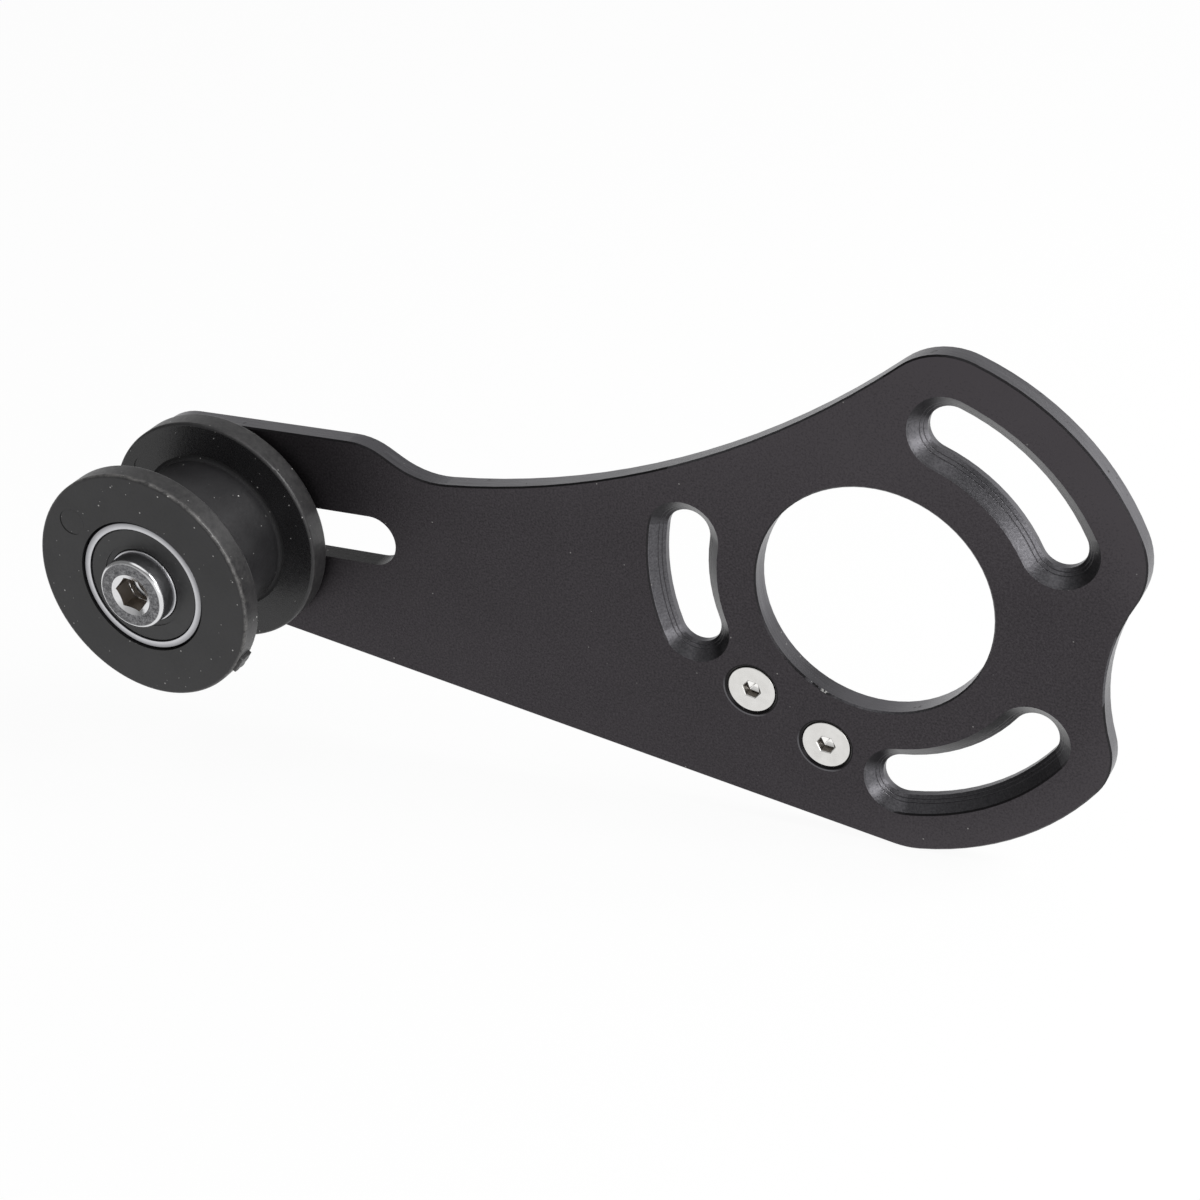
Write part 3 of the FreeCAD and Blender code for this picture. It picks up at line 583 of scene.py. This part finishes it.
bearing_finishes = {"steel": ground_steel(), "rubber": seal_rubber(), "nylon": cage_nylon()}
for side in ("front", "rear"):
    for piece, finish in (("outer_ring", "steel"), ("inner_ring", "steel"), ("balls", "steel"),
                          ("cage", "nylon"), ("outer_seal", "rubber"), ("inner_seal", "rubber")):
        wear_finish(f"{side}_bearing_{piece}", bearing_finishes[finish])

# The front bearing's inner ring: hardened steel, turned and ground, with a ball track and a rounded lip.
# It shows round the sleeve nut's head as a thin bright arc, and is clamped on the sleeve.
RING_BORE_R, RING_LIP_R, RING_CHAMFER, RING_LIP_ROUND = 4.0, 6.05, 0.4, 0.2
RING_FRONT_Y, RING_BACK_Y = -27.4, -20.4
TRACK_CIRCLE_R, TRACK_R, TRACK_STEPS = 7.5, 2.0445, 8

track_mouth = math.acos((TRACK_CIRCLE_R - RING_LIP_R) / TRACK_R)
track = []
for i in range(TRACK_STEPS + 1):
    turn = track_mouth * (2 * i / TRACK_STEPS - 1)
    middle_y = (RING_FRONT_Y + RING_BACK_Y) / 2
    track.append((TRACK_CIRCLE_R - TRACK_R * math.cos(turn), middle_y + TRACK_R * math.sin(turn)))
bm = bmesh.new()
spin_profile(bm, rounded(RING_LIP_R, RING_FRONT_Y, RING_LIP_ROUND) + track + [
    (RING_LIP_R, RING_BACK_Y), (RING_BORE_R + RING_CHAMFER, RING_BACK_Y),
    (RING_BORE_R, RING_BACK_Y - RING_CHAMFER), (RING_BORE_R, RING_FRONT_Y + RING_CHAMFER),
    (RING_BORE_R + RING_CHAMFER, RING_FRONT_Y),
    (RING_LIP_R - RING_LIP_ROUND, RING_FRONT_Y)], ROLLER_AXIS)
inner_race = finish_piece(bm, "front_inner_race", bearing_finishes["steel"])
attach(inner_race, "carriage")
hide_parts("front_bearing_inner_ring")

# The sleeve nut: turned steel, plated, with a rounded head, a hexagon key socket and a thread cut through it.
# Its face is dull and scuffed and its rims are bright.
# Its barrel carries both bearings and ends in the plate's slot.
NUT_BRIGHT_DARK, NUT_BRIGHT_LIGHT = (0.66, 0.66, 0.67, 1), (0.80, 0.80, 0.81, 1)
NUT_DULL_DARK, NUT_DULL_LIGHT = (0.075, 0.075, 0.078, 1), (0.26, 0.26, 0.268, 1)
# Painted-shade tones for the head's side and for the inside of the socket and thread:
NUT_SIDE_SHADE, NUT_INSIDE_SHADE, NUT_INSIDE_R = (0.26, 0.26, 0.27, 1), (0.42, 0.37, 0.32, 1), 3.05
NUT_FACE_Y, NUT_HEAD_BACK_Y, NUT_END_Y = -30.5, -27.4, -0.4
NUT_HEAD_R, NUT_HEAD_ROUND, NUT_BARREL_R = 5.75, 0.70, 3.98
NUT_KEY, NUT_KEY_TURN_DEG, NUT_KEY_MOUTH_R, NUT_KEY_BOTTOM_Y = 5.06, -12.0, 3.45, -27.3
NUT_ROOT_R, NUT_CREST_R, NUT_CLEAR_R, NUT_PITCH, NUT_TURNS = 2.5, 2.98, 3.02, 1.0, 6
NUT_THREAD_END_Y, NUT_RUN_IN, NUT_RUN_OUT = -19.8, 0.15, 0.4
NUT_KEY_MOUTH_SLOPE, NUT_KEY_FLOOR_DROP = 0.5, 0.05
NUT_END_CHAMFER, NUT_TAP_CHAMFER = 0.3, 0.23


def plated_steel():
    material, tree, where, facing = new_finish("plated_steel")
    lines = ring_lines(tree, where, ROLLER_AXIS, 5.0)
    scuff = noise(tree, where, 1600, 4.0, 0.65)
    flat = maths(tree, "ABSOLUTE", facing)
    on_face = ramp(tree, flat, 0.93, 0.98)
    _, reach = from_axis(tree, where, ROLLER_AXIS)
    inside = both(tree, maths(tree, "LESS_THAN", reach, NUT_INSIDE_R), ramp(tree, flat, 0.6, 0.4))
    bright = blend_tone(tree, scuff, NUT_BRIGHT_DARK, NUT_BRIGHT_LIGHT)
    speckle = maths(tree, "ADD", both(tree, scuff, 0.5), both(tree, noise(tree, where, 5000, 2.0), 0.5))
    dull = blend_tone(tree, ramp(tree, speckle, 0.40, 0.62), NUT_DULL_DARK, NUT_DULL_LIGHT)
    # Painted shade on the head's side, and in the key socket and thread.
    on_side = ramp(tree, flat, 0.35, 0.15)
    tone = blend_tone(tree, on_face, bright, dull)
    tone = blend_tone(tree, on_side, tone, NUT_SIDE_SHADE)
    tone = blend_tone(tree, inside, tone, NUT_INSIDE_SHADE)
    worn = most(tree, on_face, on_side)
    rough = maths(tree, "ADD", ramp(tree, worn, 0, 1, 0.16, 0.36), ramp(tree, scuff, 0.3, 0.7, -0.02, 0.08))
    finish_surface(tree, Base_Color=tone, Metallic=1.0, Roughness=rough,
                   Normal=bump(tree, both(tree, lines, on_face), 0.00002, 0.5))
    return material


plated = plated_steel()
bm = bmesh.new()
spin_profile(bm, [(NUT_KEY_MOUTH_R, NUT_FACE_Y)] + rounded(NUT_HEAD_R, NUT_FACE_Y, NUT_HEAD_ROUND) + [
    (NUT_HEAD_R, NUT_HEAD_BACK_Y), (NUT_BARREL_R, NUT_HEAD_BACK_Y),
    (NUT_BARREL_R, NUT_END_Y - NUT_END_CHAMFER), (NUT_BARREL_R - NUT_END_CHAMFER, NUT_END_Y),
    (NUT_CLEAR_R + NUT_TAP_CHAMFER, NUT_END_Y), (NUT_CLEAR_R, NUT_END_Y - NUT_TAP_CHAMFER),
    (NUT_CLEAR_R, NUT_THREAD_END_Y + NUT_RUN_OUT), (NUT_ROOT_R, NUT_THREAD_END_Y)], ROLLER_AXIS)
ring = pull_hexagon(bm, open_edges(bm, NUT_FACE_Y, NUT_FACE_Y), ROLLER_AXIS, NUT_KEY, NUT_KEY_TURN_DEG,
                    lambda reach: NUT_FACE_Y + (NUT_KEY_MOUTH_R - reach) * NUT_KEY_MOUTH_SLOPE)
ring = pull_hexagon(bm, ring, ROLLER_AXIS, NUT_KEY, NUT_KEY_TURN_DEG, lambda reach: NUT_KEY_BOTTOM_Y)
thread_y = NUT_KEY_BOTTOM_Y + NUT_KEY_FLOOR_DROP
pull_round(bm, ring, ROLLER_AXIS, NUT_ROOT_R, thread_y)
thread(bm, ROLLER_AXIS, NUT_ROOT_R, NUT_CREST_R, NUT_PITCH, thread_y + NUT_RUN_IN, NUT_TURNS,
       thread_y, NUT_THREAD_END_Y)
sleeve = finish_piece(bm, "turned_sleeve_nut", plated, sharp_deg=20)
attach(sleeve, "carriage")
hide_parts("sleeve_nut")

# The spacers, the clamp bolt and its washer: plated steel, turned or stamped.
# The bolt comes from behind through the plate's slot and draws the sleeve nut and the bearings against it.
for node in ("inner_spacer", "rear_spacer", "clamp_bolt", "clamp_washer"):
    wear_finish(node, plated)

# The floor: a plain white sheet under the part's lowest point.
# It stays white to the camera and in reflections, and takes a faint shadow.
FLOOR_SIZE = 6.0
FLOOR_GLOW = 0.94
FLOOR_TONE = (0.8, 0.8, 0.8, 1)


def studio_white():
    material, tree, _, _ = new_finish("studio_white")
    path = add(tree, "ShaderNodeLightPath").outputs
    seen = most(tree, path["Is Camera Ray"], path["Is Glossy Ray"], path["Is Transmission Ray"])
    matte = add(tree, "ShaderNodeBsdfDiffuse", {"Color": FLOOR_TONE}).outputs[0]
    bright = add(tree, "ShaderNodeEmission", {"Color": (1, 1, 1, 1), "Strength": 1.0}).outputs[0]
    share = maths(tree, "MULTIPLY", seen, FLOOR_GLOW)
    mixed = add(tree, "ShaderNodeMixShader", {0: share, 1: matte, 2: bright})
    add(tree, "ShaderNodeOutputMaterial", {"Surface": mixed.outputs[0]})
    return material


bm = bmesh.new()
bmesh.ops.create_grid(bm, x_segments=1, y_segments=1, size=FLOOR_SIZE / 2,
                      matrix=Matrix.Translation((0, 0, cad_box[0].z)))
floor = finish_piece(bm, "floor", studio_white())

# The room: white to the camera, and an even soft light for the part.
# It is dim in front and on the left, and brighter on the right, overhead and behind.
ROOM_DIM = 0.22
ROOM_RIGHT, ROOM_BACK, ROOM_TOP, ROOM_FRONT = 0.60, 0.70, 1.00, 0.40
world = bpy.data.worlds.new("studio")
world.use_nodes = True
room = world.node_tree
room.nodes.clear()
direction = add(room, "ShaderNodeTexCoord").outputs["Generated"]
towards = add(room, "ShaderNodeSeparateXYZ", {0: direction}).outputs
overhead = both(room, ramp(room, towards[2], 0.74, 0.92, 0.0, ROOM_TOP), ramp(room, towards[0], -0.38, -0.24))
glow = maths(room, "ADD", overhead, ROOM_DIM)
for level, fade_z in ((ramp(room, towards[0], -0.2, 0.8, 0.0, ROOM_RIGHT), 0.60),
                      (ramp(room, towards[1], 0.2, 0.8, 0.0, ROOM_BACK), 0.72),
                      (ramp(room, towards[1], -0.6, -0.85, 0.0, ROOM_FRONT), 0.60)):
    near_floor = ramp(room, towards[2], 0.15, fade_z, 1.0, 0.0)
    glow = maths(room, "ADD", both(room, level, near_floor), glow)
seen = add(room, "ShaderNodeLightPath").outputs["Is Camera Ray"]
strength = most(room, glow, seen)
backdrop = add(room, "ShaderNodeBackground", {"Color": (1, 1, 1, 1), "Strength": strength})
add(room, "ShaderNodeOutputWorld", {"Surface": backdrop.outputs[0]})
bpy.context.scene.world = world

# The lamps: two soft boxes on the right, one low and in front, one high and a little behind.
# They brighten the countersinks, the edge of the nut's head and the roller's groove and rims.
LAMPS = {
    "low_box": ((0.55, -0.42, 0.08), 0.40, 0.30, 0.9),
    "high_box": ((0.55, 0.08, 0.45), 0.40, 0.40, 6.0),
}
for name, (place, width, height, watts) in LAMPS.items():
    lamp = bpy.data.lights.new(name, "AREA")
    lamp.shape, lamp.size, lamp.size_y, lamp.energy = "RECTANGLE", width, height, watts
    box = bpy.data.objects.new(name, lamp)
    box.location = place
    box.rotation_euler = (-Vector(place)).to_track_quat("-Z", "Y").to_euler()
    bpy.context.scene.collection.objects.link(box)

# The camera stands where the photograph was taken from, outboard of the part and above its right end.
# Its lens is long, with everything sharp.
CAMERA_PLACE = (0.108667, -0.278680, 0.164696)
CAMERA_RIGHT = Vector((0.892850, 0.443253, -0.079659))
CAMERA_UP = Vector((-0.151219, 0.461683, 0.874060))
lens = bpy.data.cameras.new("camera")
lens.sensor_width, lens.lens = 36.0, 72.003
lens.clip_start, lens.clip_end = 0.01, 20.0
camera = bpy.data.objects.new("camera", lens)
bpy.context.scene.collection.objects.link(camera)
camera.matrix_world = Matrix.Translation(CAMERA_PLACE) @ Matrix(
    (CAMERA_RIGHT, CAMERA_UP, CAMERA_RIGHT.cross(CAMERA_UP))).transposed().to_4x4()
bpy.context.scene.camera = camera
bpy.context.scene.view_settings.view_transform = "Standard"
